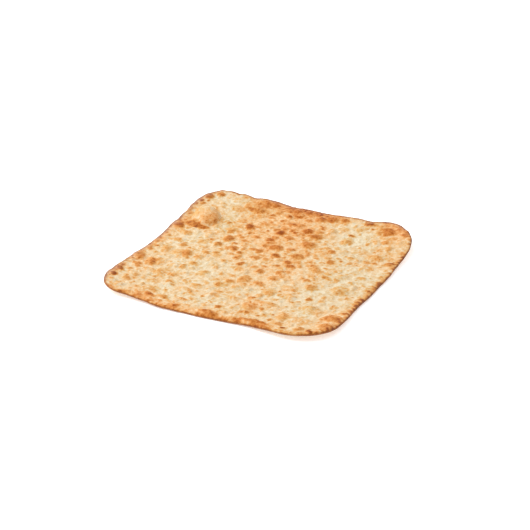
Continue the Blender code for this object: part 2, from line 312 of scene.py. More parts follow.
# %% Small spots and smooth places
FRONT_SPOTS = [
    (-33, -119, 9, 8, 0.72), (72, -112, 8, 7, 0.68), (80, -119, 7, 4, 0.9), (-51, -117, 5, 3, 0.62),
    (-103, -107, 4, 5, 0.55), (61, -106, 6, 4, 0.66), (72, -104, 3, 3, 0.62), (46, -102, 3, 3, 0.52),
    (27, -105, 5, 4, 0.52), (5, -103, 8, 5, 0.68), (-8, -105, 8, 4, 0.52), (-32, -105, 10, 4, 0.55),
    (-26, -101, 4, 4, 0.6), (53, -99, 7, 4, 0.48), (16, -98, 6, 6, 0.48), (119, -105, 5, 5, 0.85),
    (-74, -102, 9, 5, 0.45), (-111, -105, 5, 5, 0.5)]
EDGE_SPOTS = [
    (-11, 109, 9, 9, 0.82), (-16, 118, 10, 9, 0.76), (-4, 120, 6, 8, 0.76), (-44, 121, 9, 8, 0.76),
    (37, 118, 10, 8, 0.72), (42, 112, 4, 4, 0.5), (100, 113, 6, 5, 0.62), (111, 103, 8, 7, 0.76),
    (-118, 93, 5, 6, 0.8), (-119, 84, 4, 5, 0.75), (-119, 71, 4, 9, 0.6), (-116, 13, 4, 6, 0.52),
    (-110, 10, 4, 4, 0.42), (-115, -8, 7, 9, 0.68), (-110, -6, 4, 6, 0.46), (-115, -23, 8, 8, 0.76),
    (-118, -55, 5, 6, 0.66), (-118, -73, 5, 5, 0.8), (-108, -75, 6, 5, 0.62), (-108, -60, 9, 7, 0.62),
    (-118, -45, 6, 8, 0.74), (119, -12, 5, 5, 0.6), (121, -39, 6, 5, 0.56), (119, -65, 9, 5, 0.62),
    (120, 20, 4, 5, 0.6), (-33, 107, 6, 10, 0.68), (-19, 102, 6, 6, 0.66), (3, 103, 9, 5, 0.66),
    (-76, 121, 8, 4, 0.6)]
BACK_SPOTS = [
    (-36, 98, 7, 6, 0.66), (-34, 92, 5, 4, 0.56), (-21, 90, 7, 6, 0.52), (-45, 89, 7, 5, 0.46),
    (-53, 84, 5, 9, 0.42), (-34, 76, 9, 7, 0.64), (-26, 78, 5, 5, 0.46), (-69, 64, 5, 4, 0.52),
    (-37, 66, 6, 4, 0.5), (-13, 46, 8, 8, 0.82), (-29, 45, 9, 6, 0.62), (-42, 39, 6, 5, 0.6),
    (-33, 33, 5, 4, 0.48), (-13, 32, 9, 8, 0.54), (-18, 19, 11, 6, 0.58), (-12, 18, 8, 8, 0.68),
    (3, 57, 10, 8, 0.68), (2, 90, 6, 6, 0.56), (-7, 86, 9, 8, 0.7), (22, 93, 6, 8, 0.58),
    (24, 83, 8, 7, 0.62), (35, 89, 7, 11, 0.42), (58, 90, 9, 6, 0.74), (60, 104, 7, 8, 0.42),
    (82, 103, 8, 7, 0.62), (96, 86, 6, 8, 0.56), (86, 85, 6, 6, 0.42), (83, 91, 4, 4, 0.42),
    (104, 75, 7, 8, 0.5), (96, 70, 6, 4, 0.52), (77, 44, 8, 5, 0.56), (94, 43, 6, 5, 0.56),
    (103, 44, 7, 4, 0.6), (62, 28, 8, 8, 0.68), (80, 32, 4, 8, 0.6), (67, 37, 4, 3, 0.52),
    (110, 37, 4, 4, 0.42), (15, 35, 8, 7, 0.66), (33, 36, 5, 6, 0.52), (34, 63, 4, 4, 0.56),
    (44, 19, 6, 5, 0.52), (63, 14, 4, 3, 0.6), (75, 11, 3, 4, 0.5), (24, 8, 9, 8, 0.82),
    (30, 1, 10, 7, 0.76), (34, 12, 7, 6, 0.64), (-28, 7, 8, 7, 0.72), (-56, 13, 8, 7, 0.74),
    (-66, 20, 4, 4, 0.68), (-74, 13, 6, 6, 0.46), (-73, 31, 6, 8, 0.32), (-98, 5, 11, 7, 0.54),
    (103, 9, 8, 6, 0.5), (86, 4, 8, 7, 0.36), (-95, 98, 4, 5, 0.44), (-49, 5, 7, 5, 0.5),
    (-44, 10, 6, 6, 0.64), (88, 111, 10, 8, 0.78), (-11, 75, 7, 6, 0.64), (-59, 70, 8, 6, 0.54),
    (-42, 23, 7, 5, 0.56), (47, 54, 7, 5, 0.56), (-35, 0, 7, 5, 0.54), (-105, 48, 9, 7, 0.72),
    (-85, 42, 8, 6, 0.7), (8, 47, 7, 5, 0.6), (-11, 52, 7, 6, 0.62), (2, 4, 7, 6, 0.56),
    (70, 4, 7, 5, 0.54), (50, 11, 9, 6, 0.62), (19, 60, 7, 6, 0.6), (-52, 112, 8, 6, 0.68),
    (-26, -2, 6, 6, 0.62)]
MIDDLE_SPOTS = [
    (0, 85, 7, 6, 0.62), (-50, -5, 7, 6, 0.68), (-59, -9, 9, 6, 0.6), (-46, -9, 6, 5, 0.52),
    (-26, -5, 6, 6, 0.68), (-18, -6, 6, 4, 0.52), (18, -3, 6, 5, 0.68), (6, -9, 5, 5, 0.6),
    (31, -10, 4, 4, 0.56), (70, -3, 8, 6, 0.62), (76, -7, 6, 5, 0.52), (-17, -15, 8, 8, 0.76),
    (-1, -15, 7, 6, 0.6), (8, -21, 8, 8, 0.66), (32, -21, 5, 6, 0.54), (27, -15, 8, 8, 0.66),
    (34, -36, 3, 3, 0.5), (58, -18, 8, 6, 0.6), (51, -17, 6, 5, 0.5), (-12, -26, 8, 7, 0.58),
    (-105, -28, 5, 5, 0.52), (-60, -21, 8, 7, 0.56), (-59, -35, 10, 7, 0.5), (-34, -16, 8, 6, 0.5),
    (-65, -46, 6, 9, 0.56), (-81, -42, 4, 3, 0.42), (-39, -50, 6, 9, 0.54), (-24, -42, 4, 6, 0.52),
    (-13, -40, 7, 5, 0.46), (-22, -55, 5, 4, 0.56), (-9, -53, 11, 8, 0.62), (-15, -64, 8, 8, 0.7),
    (5, -52, 6, 4, 0.54), (2, -62, 8, 7, 0.4), (-65, -65, 7, 6, 0.52), (-60, -59, 4, 3, 0.42),
    (-79, -76, 5, 4, 0.62), (-60, -78, 9, 5, 0.56), (-76, -87, 12, 5, 0.5), (-35, -73, 13, 5, 0.62),
    (-8, -77, 9, 4, 0.52), (-28, -83, 3, 3, 0.56), (-8, -84, 12, 5, 0.46), (10, -82, 14, 5, 0.44),
    (31, -67, 5, 8, 0.5), (26, -74, 9, 6, 0.76), (48, -67, 7, 5, 0.46), (58, -55, 9, 7, 0.5),
    (76, -52, 6, 7, 0.72), (87, -43, 5, 7, 0.46), (88, -51, 7, 4, 0.5), (103, -55, 3, 6, 0.8),
    (86, -69, 7, 6, 0.6), (55, -42, 7, 5, 0.52), (57, -58, 6, 6, 0.52), (107, -62, 4, 7, 0.46),
    (96, -72, 7, 7, 0.42), (-100, -95, 9, 6, 0.52), (-97, -83, 9, 6, 0.38), (45, -78, 20, 5, 0.44),
    (44, -89, 6, 5, 0.64), (-101, -44, 8, 7, 0.49), (-94, -43, 7, 6, 0.55), (56, -8, 7, 5, 0.54),
    (24, -7, 7, 5, 0.54), (-82, -24, 8, 7, 0.52), (-20, -24, 6, 5, 0.5), (-42, -85, 7, 5, 0.5),
    (94, -29, 9, 7, 0.62), (-104, -65, 6, 5, 0.6), (-100, -56, 5, 5, 0.6), (30, 11, 5, 5, 0.6),
    (34, -10, 6, 5, 0.6), (-54, 87, 6, 6, 0.56), (-69, 11, 6, 5, 0.5), (106, -56, 6, 5, 0.5),
    (35, 31, 6, 6, 0.58), (-36, 34, 6, 5, 0.6), (7, -39, 6, 5, 0.62), (-17, 70, 6, 5, 0.62),
    (-54, 58, 7, 5, 0.58), (-2, 75, 8, 6, 0.62), (-83, -68, 7, 6, 0.52), (11, 71, 6, 5, 0.6),
    (56, 35, 8, 6, 0.5), (2, -36, 7, 5, 0.6), (-46, 41, 6, 5, 0.6), (-11, 38, 7, 5, 0.62),
    (-69, 63, 6, 5, 0.74), (-66, 20, 6, 4, 0.68), (-7, 11, 6, 5, 0.58), (31, -20, 6, 6, 0.62),
    (-78, 50, 5, 8, 0.48), (-67, -102, 8, 5, 0.54), (-75, -73, 7, 5, 0.5), (-114, 87, 5, 7, 0.62),
    (91, 102, 8, 7, 0.7)]
SMOOTH_PLACES = [
    (105, -11, 9, 8, 0.26), (-88, -31, 9, 8, 0.16), (-72, 82, 9, 8, 0.24), (16, -59, 8, 8, 0.2),
    (111, 57, 8, 8, 0.26), (64, -86, 6, 6, 0.24), (83, -106, 9, 7, 0.16), (-19, -72, 8, 7, 0.16),
    (-35, 58, 7, 7, 0.34), (-116, 1, 5, 6, 0.36), (110, 91, 8, 8, 0.26), (-88, -76, 8, 8, 0.18),
    (-25, 105, 6, 6, 0.42), (70, -106, 6, 5, 0.26), (68, -68, 7, 7, 0.3), (-16, 112, 8, 7, 0.5),
    (-42, -114, 7, 5, 0.22), (40, -96, 6, 6, 0.24), (-115, 55, 7, 8, 0.3), (105, -106, 9, 6, 0.1),
    (110, -97, 8, 7, 0.4), (-92, 51, 6, 4, 0.4), (33, 105, 7, 7, 0.42), (90, 94, 7, 7, 0.36),
    (100, -65, 7, 6, 0.2), (72, -77, 7, 6, 0.2), (40, -26, 6, 7, 0.26), (89, -108, 8, 7, 0.2),
    (94, 115, 6, 5, 0.45), (116, -75, 8, 7, 0.3), (26, -112, 9, 5, 0.14), (-111, 4, 7, 6, 0.25),
    (-108, -49, 6, 6, 0.22), (-47, 104, 7, 5, 0.3), (-96, 73, 8, 7, 0.2), (14, -72, 7, 6, 0.1),
    (-103, 31, 7, 6, 0.22), (-81, 78, 7, 6, 0.22), (-88, 29, 7, 6, 0.12)]
SPOT_RISE_PER_WIDTH = 0.16
SPOT_SPREAD = 1.25
spots = placed(FRONT_SPOTS + EDGE_SPOTS + BACK_SPOTS + MIDDLE_SPOTS, SPOT_RISE_PER_WIDTH)
spots[:, 2:4] *= SPOT_SPREAD
smooth = placed(SMOOTH_PLACES, 0)
print(len(spots), "small spots,", len(smooth), "smooth places")

# %% [markdown]
# ## Low golden swellings
# Between the dark tops lie wide low swellings that only turned golden. They make the warm, cloudy look of
# the pale parts. The rows read as the blisters' rows do, but each swelling rises far less than a blister.
# Two rows east of the big bubble are painted shade instead: the soft shadow that the bubble casts.

# %% Golden swellings
GOLDEN_FRONT = [
    (50, -40, 20, 12, 0.42), (95, -21, 20, 16, 0.45), (55, -56, 13, 11, 0.45), (5, -60, 15, 12, 0.37),
    (81, -68, 22, 14, -20, 0.42), (98, -70, 13, 6, 0.48), (12, -82, 22, 8, -10, 0.44),
    (47, -78, 34, 8, 0.42), (32, -90, 18, 18, 0.46), (68, -93, 13, 17, 0.5), (86, -96, 30, 18, 0.35),
    (115, -97, 17, 14, 0.45), (55, -97, 10, 7, 0.45), (35, -54, 16, 14, 0.48), (30, -67, 9, 12, 0.46),
    (-98, -17, 14, 17, 0.46), (-80, -20, 24, 18, 0.46), (-60, -18, 14, 10, 0.42), (-33, -15, 16, 9, 0.42),
    (-40, -28, 14, 8, 0.36), (-58, -36, 16, 14, 0.4), (-92, -46, 16, 18, 0.44), (-65, -45, 11, 13, 0.46),
    (-40, -49, 15, 12, 0.42), (-79, -62, 16, 18, 0.44), (-92, -65, 14, 11, 0.38), (-65, -63, 14, 10, 0.42),
    (-98, -84, 16, 9, 0.4), (-38, -88, 24, 12, 0.41), (-77, -84, 14, 7, 0.42), (-70, -97, 18, 10, 0.42),
    (-13, -60, 16, 14, 0.42), (-100, -94, 14, 9, 0.44), (-32, -74, 20, 8, 0.42)]
GOLDEN_BACK = [
    (-80, 112, 18, 12, 0.36), (-76, 95, 26, 13, 0.36), (-60, 105, 30, 16, -8, 0.46),
    (-45, 90, 20, 14, 0.42), (-72, 30, 13, 15, 0.38), (-98, 24, 18, 12, 0.44), (-75, 13, 14, 11, 0.42),
    (-57, 49, 18, 12, 0.5), (45, 100, 14, 11, 0.38), (35, 91, 12, 16, 0.44), (58, 78, 14, 15, 0.5),
    (62, 106, 13, 11, 0.44), (98, 88, 14, 15, 0.48), (85, 87, 12, 11, 0.42), (104, 76, 9, 11, 0.46),
    (80, 62, 26, 14, 0.37), (99, 56, 19, 16, 0.48), (48, 42, 20, 15, 0.43), (100, 32, 13, 13, 0.4),
    # The last swelling on this line and the first on the next are painted shade, the big bubble's soft
    # shadow.
    (56, 4, 24, 15, -25, 0.48), (86, 4, 14, 9, 0.4), (27, 25, 16, 16, 0.5), (-76, 52, 10, 14, 0.4),
    (-79, 63, 6, 22, 15, 0.45), (68, 101, 12, 9, 0.36), (57, 59, 11, 8, 0.4)]
GOLDEN_RISE_PER_WIDTH = 0.06
golden = placed(GOLDEN_FRONT + GOLDEN_BACK, GOLDEN_RISE_PER_WIDTH)
print(len(golden), "golden swellings")

# %% [markdown]
# ## Domes of dough
# A blister is a skin held up by gas, so it is a dome with a soft foot. The tallest dome wins where two
# meet, which leaves the little valley that real blisters have between them. Noise bends each foot, so that
# no blister is a perfect ellipse. The fine pimples of the skin are the same domes again, only smaller.

# %% Height of the blisters
DOME_POWER = 1.2
FULL_DOME_POWER = 0.85
OUTLINE_WARP = 1.1 * MM
OUTLINE_WARP_CELL = 7 * MM
PIMPLE_CELL = 4.7 * MM
PIMPLE_WIDTHS = (1.9 * MM, 5.2 * MM)
PIMPLE_RISE_PER_WIDTH = 0.11
PIMPLE_SEED = 41

warped_x = x + OUTLINE_WARP * soft_noise(x, y, OUTLINE_WARP_CELL, 31)
warped_y = y + OUTLINE_WARP * soft_noise(x, y, OUTLINE_WARP_CELL, 32)


def how_far_out(mark, across, up):
    """How far out points lie from the middle of a mark's ellipse: 0 in the middle, 1 at the foot."""
    length, width, turn = mark[2:5]
    along = (across * np.cos(turn) + up * np.sin(turn)) / (length / 2)
    aside = (up * np.cos(turn) - across * np.sin(turn)) / (width / 2)
    return np.hypot(along, aside)


def reach_of(blister, stretch=1.0):
    """The grid points near a blister, and how far out each is."""
    across, up = warped_x - blister[0], warped_y - blister[1]
    near = np.hypot(across, up) < stretch * max(blister[2:4]) / 2
    return near, how_far_out(blister, across[near], up[near])


def dome_height(blisters):
    """The tallest blister over each grid point."""
    height = np.zeros_like(x)
    for blister in blisters:
        near, out = reach_of(blister)
        power = FULL_DOME_POWER if blister[5] > TALLEST else DOME_POWER
        dome = blister[5] * np.clip(1 - out**2, 0, 1) ** power
        height[near] = np.maximum(height[near], dome)
    return height


def pimples():
    """Many tiny blisters on a jittered grid, as x, y, length, width, turn and rise."""
    rng = np.random.default_rng(PIMPLE_SEED)
    places = np.arange(-HALF, HALF, PIMPLE_CELL)
    table = []
    for place_x in places:
        for place_y in places:
            jitter_x, jitter_y, size, longer, turn, tall = rng.random(6)
            width = PIMPLE_WIDTHS[0] + (PIMPLE_WIDTHS[1] - PIMPLE_WIDTHS[0]) * size**1.5
            length = width * (1 + 0.6 * longer)
            rise = PIMPLE_RISE_PER_WIDTH * width * (0.5 + tall)
            table.append((place_x + PIMPLE_CELL * jitter_x, place_y + PIMPLE_CELL * jitter_y, length, width,
                          np.pi * turn, rise))
    return np.array(table)


tiny = pimples()
domes = dome_height(np.vstack([named[:, :6], scattered, golden[:, :6]]))
fine_domes = dome_height(np.vstack([spots[:, :6], tiny]))
print(len(tiny), "pimples; highest dome, mm:", round(1000 * float(domes.max()), 1))

# %% [markdown]
# ## Browning, step one: which parts of the sheet ran hot
# An oven floor is never evenly hot. The back middle of this sheet is tanned all over, the left side and
# the front stayed pale, and the edge browned all round because it was thin and lifted. Each row below is a
# soft patch: place, length, width, turn, how much more it toasted, and how much redder its tones are.

# %% Hot and cool patches
BASE_TOAST = 0.18
BASE_HEAT = 0.3
WARMTH_CLOUDS = [(0.04, 18 * MM, 51), (0.05, 8 * MM, 52)]
HEAT_CLOUDS = [(0.25, 12 * MM, 56), (0.2, 5 * MM, 57)]
OVEN_PATCHES = [
    # the hot middle of the back, and the band along the back edge
    (-6, 72, 84, 150, 12, 0.06, 0.65), (8, 84, 74, 70, 0, 0.15, 0.15), (-22, 122, 96, 22, 0, 0.42, 0.5),
    (22, 122, 40, 24, 0, 0.16, 0.3), (92, 118, 44, 24, -30, 0.34, 0.5), (98, 104, 40, 30, -30, 0.1, 0.4),
    (4, 20, 76, 50, -30, 0.02, 0.0), (-40, 40, 50, 70, 0, 0.05, 0.0), (30, -14, 50, 50, 0, 0.01, 0.3),
    (-55, -12, 26, 22, 0, 0.14, 0.1), (116, 68, 18, 34, 0, 0.15, 0.2),
    # the left side
    (-62, 108, 34, 24, -15, 0.26, 0.1), (-60, 70, 26, 30, 0, 0.12, 0.1), (-112, 50, 16, 50, 0, 0.3, 0.3),
    (-88, 60, 26, 36, 20, 0.0, 0.7), (-104, 66, 30, 40, -64, 0.1, -0.4), (-113, 6, 16, 60, 0, 0.14, 0.3),
    (-100, -52, 34, 44, 0, 0.02, 0.3), (-75, -18, 30, 36, 0, 0.05, 0.1), (-98, -90, 30, 30, 0, 0.06, 0.2),
    # the front edge and the right corner
    (-72, -115, 34, 20, -25, 0.26, 0.4), (-100, -108, 34, 22, -40, -0.1, 0.0),
    (0, -121, 240, 20, 0, 0.02, 0.6), (-5, -118, 30, 14, 0, 0.2, 0.0), (46, -119, 46, 14, 0, 0.28, 0.1),
    (112, -88, 30, 50, 0, 0.06, 0.6), (35, -86, 40, 28, 0, 0.1, 0.4), (70, -95, 24, 24, 0, 0.04, 0.2),
    (-6, -54, 30, 24, 0, 0.04, 0.0), (-20, -80, 50, 24, 0, 0.03, 0.0), (100, 50, 40, 34, 0, 0.04, 0.2),
    (20, -40, 90, 44, 0, 0.02, 0.15), (90, -45, 30, 20, 0, 0.06, 0.0), (85, -96, 26, 20, 0, 0.04, 0.1),
    (-75, -80, 26, 22, 0, 0.06, 0.0), (-30, -90, 34, 20, 0, 0.03, 0.1),
    # cooler places, which stayed pale
    # The second patch on the next line is painted shade: darker and greyer, the big bubble's soft shadow.
    (-90, 108, 32, 36, 20, -0.1, -0.2), (-74, 66, 16, 56, 15, 0.08, -0.6), (60, 84, 36, 64, 0, -0.12, -0.4),
    (38, 102, 26, 20, 0, -0.12, -0.2), (78, 64, 26, 40, 0, 0.02, -0.2), (92, 0, 40, 60, 0, 0.0, -0.3),
    (-86, 14, 40, 30, 0, -0.06, -0.1), (-50, -36, 50, 50, 0, -0.07, -0.3),
    (-76, -44, 26, 26, 0, -0.07, 0.0), (-50, -92, 70, 30, 0, -0.03, -0.1),
    (74, -56, 50, 50, 0, -0.05, -0.2), (12, -66, 40, 24, 0, -0.05, 0.0), (102, -60, 24, 26, 0, -0.06, -0.2),
    (-118, -62, 14, 26, 0, -0.1, 0.0)]


def soft_patch(patch):
    """A bell over one patch: 1 in its middle, fading outside."""
    mark = (*(np.array(patch[:4]) * MM), np.radians(patch[4]))
    return np.exp(-how_far_out(mark, warped_x - mark[0], warped_y - mark[1]) ** 2)


def layered(layers):
    """Noise over the grid, in layers of amount, cell and seed."""
    return sum(amount * soft_noise(x, y, cell, seed) for amount, cell, seed in layers)


def spread(values):
    """The low, middle and high of some shares, to print."""
    return [round(float(share), 2) for share in np.percentile(values, [5, 50, 95])]


warmth = BASE_TOAST + sum(patch[5] * soft_patch(patch) for patch in OVEN_PATCHES)
warmth += layered(WARMTH_CLOUDS)
warmth = np.clip(warmth, 0.02, 0.75)
heat = BASE_HEAT + sum(patch[6] * soft_patch(patch) for patch in OVEN_PATCHES)
heat = np.clip(heat + layered(HEAT_CLOUDS), 0, 1)
print("warmth:", spread(warmth))

# %% [markdown]
# ## Browning, step two: brushes
# Browning is laid on like paint with a soft brush: inside each blister the tone moves toward that
# blister's own toast, fully in the middle and less at the foot. Two more brushes make it look baked: a
# wide soft glow round a blister, and a darker side on the east and south, away from the light, which is
# browning and painted shade together. A ragged warp of the grid keeps every stroke from having a clean
# outline.

# %% Brushes
RAGGED = 0.9 * MM
RAGGED_CELL = 3.2 * MM
GLOW_SHARE = 0.2
# The darker side of each blister lies east and south, away from the window light: browning and painted
# shade.
BROWNED_AND_SHADED_SIDE = (0.1, -0.14)
BROWNED_AND_SHADED_SIDE_SIZE = (0.6, 0.55)
BROWNED_AND_SHADED_SIDE_EXTRA = 0.06
browning = warmth.copy()
warped_x += RAGGED * soft_noise(x, y, RAGGED_CELL, 33)
warped_y += RAGGED * soft_noise(x, y, RAGGED_CELL, 34)


def brush(blister, toast, core=0.6, fade=1.15, strength=1.0):
    """Moves the browning inside one blister toward its toast."""
    near, out = reach_of(blister, max(1.3, fade))
    share = np.clip((fade - out) / (fade - core), 0, 1)
    share = strength * share * share * (3 - 2 * share)
    browning[near] += (toast - browning[near]) * share


def glow(blister, toast, reach):
    """A wide soft tan round one blister, part of the way to its toast."""
    near, out = reach_of(blister, reach)
    under = float(np.median(browning[near])) if near.any() else toast
    brush(blister, under + GLOW_SHARE * (toast - under), core=0.6, fade=reach)


def browned_and_shaded_side(blister, toast):
    """Browns one side of a blister a little more, away from the light: browning and painted shade."""
    size = blister[2:4] * BROWNED_AND_SHADED_SIDE_SIZE
    place = blister[:2] + blister[2:4] * BROWNED_AND_SHADED_SIDE
    brush((*place, *size, blister[4]), toast + BROWNED_AND_SHADED_SIDE_EXTRA, core=0.1, fade=1.2)


print("browning before any blister:", spread(browning))

# %% [markdown]
# ## Browning, step three: every blister browns on top
# Small things are painted first and landmarks last. The pimples and the scattered blisters take their
# toast from the warmth of the sheet under them, plus a seeded share. A scattered blister is left out where
# it would crowd a small spot or a smooth place.

# %% Paint the blisters
TINY_TOAST = (-0.1, 0.7)
SCATTER_TOAST = (0.1, 0.42)
GOLDEN_EXTRA = 0.02
SPOT_EXTRA = 0.025
BLISTER_EXTRA = -0.015
BLISTER_SIDE_EXTRA = -0.02
CLEAR_OF_MARKS = 0.3


def toast_by_warmth(table, extra, seed):
    """A toast for each blister of a scatter: the warmth under it plus a seeded share of extra."""
    draw = np.random.default_rng(seed).random(len(table))
    toasts = []
    for blister, share in zip(table, draw):
        nearest = np.argmin((x - blister[0]) ** 2 + (y - blister[1]) ** 2)
        toasts.append(warmth.flat[nearest] + extra[0] + (extra[1] - extra[0]) * share**2)
    return toasts


scattered_toasts = toast_by_warmth(scattered, SCATTER_TOAST, 62)
for blister, toast in zip(tiny, toast_by_warmth(tiny, TINY_TOAST, 61)):
    brush(blister, toast, core=0.3, fade=1.05, strength=0.8)
for swelling in golden:
    brush(swelling, swelling[6] + GOLDEN_EXTRA, core=0.35, fade=1.2)
for spot in spots:
    glow(spot, spot[6], 1.7)
for blister in named[1:]:
    glow(blister, blister[6], 1.35)
for place in smooth:
    brush(place, place[6], core=0.4, fade=1.3, strength=0.8)
marks = np.vstack([spots, smooth])
for blister, toast in zip(scattered, scattered_toasts):
    crowd = np.hypot(*(marks[:, :2] - blister[:2]).T) - marks[:, 2] / 2
    if crowd.min() > CLEAR_OF_MARKS * blister[2]:
        glow(blister, toast, 1.5)
        brush(blister, toast, core=0.4, fade=1.05)
        browned_and_shaded_side(blister, toast)
for spot in spots:
    brush(spot, spot[6] + SPOT_EXTRA, core=0.5, fade=1.1)
    browned_and_shaded_side(spot, spot[6])
for blister in named:
    brush(blister, blister[6] + BLISTER_EXTRA, core=0.5, fade=1.1)
for blister in named[1:]:
    browned_and_shaded_side(blister, blister[6] + BLISTER_SIDE_EXTRA)
print("browning:", spread(browning))

# %% [markdown]
# ## Browning, step four: streaks and pale gleams
# A few marks aren't spots. The big bubble is toasted down the side that leaned to the heat, with a darker
# line at its foot. Other blisters have a dark side, which is browning and painted shade together, or a
# pale gleam where the skin stretched thin, part paler skin and part painted highlight. The long blister at
# the big bubble's foot is painted once more at the end, because the streaks cross it. The rows read as
# the blisters' rows do.

# %% Streaks and gleams
STREAKS = [
    (-86, 57, 12, 22, 10, 0.52), (-86, 50, 10, 8, 0.62), (-84, 60, 5, 24, 20, 0.7),
    (-93, 85, 4, 16, 50, 0.6), (-107, 64, 7, 20, 15, 0.58), (-103, 42, 15, 9, -20, 0.84),
    (-94, 42, 22, 7, -12, 0.78), (-110, 49, 7, 6, 0.5), (-114, 72, 4, 12, 15, 0.5),
    (-88, 69, 6, 26, 22, 0.5), (-112, 73, 3, 12, 28, 0.6), (-107, 66, 3, 13, 32, 0.5),
    (-56, 107, 20, 9, -8, 0.62), (-62, 100, 17, 7, -26, 0.9), (-52, 99, 15, 5, 8, 0.78),
    (33, -84, 12, 5, 8, 0.62), (32, -119, 10, 5, 20, 0.8), (60, -117, 14, 8, -20, 0.86),
    (-9, 61, 7, 6, 1.0), (31, 49, 6, 6, 0.78), (67, -29, 8, 7, 0.6), (118, -78, 10, 9, 0.36),
    (114, -101, 10, 9, 0.4), (-10, 110, 11, 8, 0.5), (28, -115, 11, 6, 0.1), (91, -113, 11, 7, 0.12),
    (-94, 73, 8, 9, 0.16), (-118, -69, 6, 9, 0.3), (-116, -40, 5, 7, 0.55), (-34, 111, 7, 6, 0.5),
    (-3, -43, 6, 6, 0.36), (-70, 111, 6, 7, 0.3), (-72, -46, 8, 7, 0.1), (-102, -107, 7, 5, 0.56),
    (-117, 38, 8, 8, 0.76), (-26, -1, 6, 6, 0.36), (50, -28, 7, 6, 0.12), (-65, 3, 6, 6, 0.14),
    (15, -73, 7, 6, 0.04), (-32, 82, 6, 6, 0.3), (-117, -22, 7, 9, 0.7), (27, -76, 9, 6, 0.6),
    (13, 112, 9, 7, 0.96), (26, 111, 8, 7, 0.9), (70, -107, 8, 6, 0.2), (-92, -46, 7, 6, 0.62),
    (-16, -59, 6, 6, 0.3), (-33, 98, 6, 5, 0.66), (-4, -85, 6, 5, 0.5)]
for streak in placed(STREAKS, 0):
    brush(streak, streak[6], core=0.2, fade=1.15, strength=0.9)
brush(named[1], named[1][6], core=0.75, fade=1.15)
print(len(STREAKS), "streaks; browning:", spread(browning))

# %% [markdown]
# ## Browning, step five: the edge
# The edge is thin and stands proud, so it browned all round. Fine hatching runs across it, like the marks
# that stretching leaves in dough, and along the very rim lies a dark line, burnt crust and painted shade
# together, deepest on the two far sides.
# Each side has its own values, which blend softly round the corners.

# %% The toasted edge
EDGE_TOAST = 0.62
EDGE_TOAST_DEPTH = 5.0 * MM
HATCH_CELL = 2.2 * MM
HATCH_STRETCH = 0.3
HATCH_TOAST = 0.3
HATCH_BY_SIDE = {"east": 1.35, "north": 0.8, "west": 1.3, "south": 0.5}
# The dark line along the very rim, part burnt crust and part painted shade: how deep in and how dark, by
# side.
BURNT_AND_SHADED_DEPTH = {"east": 0.9 * MM, "north": 4.0 * MM, "west": 3.6 * MM, "south": 0.4 * MM}
BURNT_AND_SHADED_TOAST = {"east": 0.95, "north": 0.95, "west": 0.92, "south": 0.8}
CORNER_BLEND = 12
EDGE_TOAST_CLOUDS = [(0.2, 4 * MM, 53)]
EDGE_DEPTH_CLOUDS = [(0.4, 11 * MM, 54)]
BURNT_AND_SHADED_CLOUDS = [(0.25, 5 * MM, 55)]
EDGE_PATCHES = [
    (-92, 124, 50, 24, 0, -0.3), (-20, 128, 100, 20, 0, 0.14), (62, 125, 20, 14, 0, 0.04),
    (60, -124, 130, 20, 0, 0.02), (-122, 80, 16, 60, 0, 0.06), (118, 108, 24, 24, 0, 0.06),
    (-122, 10, 16, 60, 0, -0.1), (-122, -84, 16, 30, 0, -0.05), (-120, -68, 14, 16, 0, -0.4),
    (124, -10, 14, 180, 0, 0.2), (-10, -124, 260, 12, 0, 0.06)]
side_shares = {name: np.clip((x * right + y * up) / HALF, 0, 1) ** CORNER_BLEND + 1e-9
               for name, (right, up) in SIDE_NORMALS.items()}


def by_side(values):
    """A value for every grid point, from one for each side, blended round the corners."""
    return sum(side_shares[name] * values[name] for name in SIDE_NORMALS) / sum(side_shares.values())


def near_edge(depth, power=2):
    """1 at the rim, fading inward over a depth."""
    return np.exp(-((inward / depth) ** power))


edge_toast = EDGE_TOAST + sum(patch[5] * soft_patch(patch) for patch in EDGE_PATCHES)
around = np.arctan2(y, x) * HALF
hatching = by_side(HATCH_BY_SIDE) * soft_noise(around, inward * HATCH_STRETCH, HATCH_CELL, 58)
edge_toast += layered(EDGE_TOAST_CLOUDS) + HATCH_TOAST * hatching
depth = EDGE_TOAST_DEPTH * (1 + layered(EDGE_DEPTH_CLOUDS) + HATCH_TOAST * hatching)
browning += (np.maximum(edge_toast, browning) - browning) * near_edge(depth)
burnt_and_shaded_line = near_edge(by_side(BURNT_AND_SHADED_DEPTH), 4) * (0.75 + layered(BURNT_AND_SHADED_CLOUDS))
browning += (by_side(BURNT_AND_SHADED_TOAST) - browning) * burnt_and_shaded_line
browning = np.clip(browning, 0, 1)
print("edge toast:", round(float(edge_toast[0].mean()), 2))

# %% [markdown]
# ## The closed sheet
# The top and the underside are two height maps over the same grid, and they share the points of the rim,
# so the mesh is closed without any sewing. The top adds the blisters, the skin's own unevenness and a
# slight crimp of the edge, under a soft ceiling close to the height of the solid.

# %% Heights of the two faces
SKIN = [(0.16 * MM, 6.0 * MM, 71), (0.09 * MM, 2.8 * MM, 72)]
CRIMP = 0.2 * MM
CEILING = 11.72 * MM
CEILING_SOFTNESS = 0.5 * MM

half_thick = (THICKNESS + BEAD * near_edge(BEAD_WIDTH)) / 2
onset = np.clip(inward / EDGE_ROUND, 0, 1)
rounding = np.sqrt(1 - (1 - onset) ** 2)
crimp = CRIMP * hatching * near_edge(EDGE_TOAST_DEPTH)
relief = domes + fine_domes + layered(SKIN) + crimp
top = middle + half_thick * rounding + relief * onset
over = np.clip(top - (CEILING - CEILING_SOFTNESS), 0, None)
top = top - over + CEILING_SOFTNESS * (1 - np.exp(-over / CEILING_SOFTNESS))
bottom = np.maximum(middle - half_thick * rounding, 0)
print("bread height, mm:", round(1000 * float(top.max() - bottom.min()), 1))

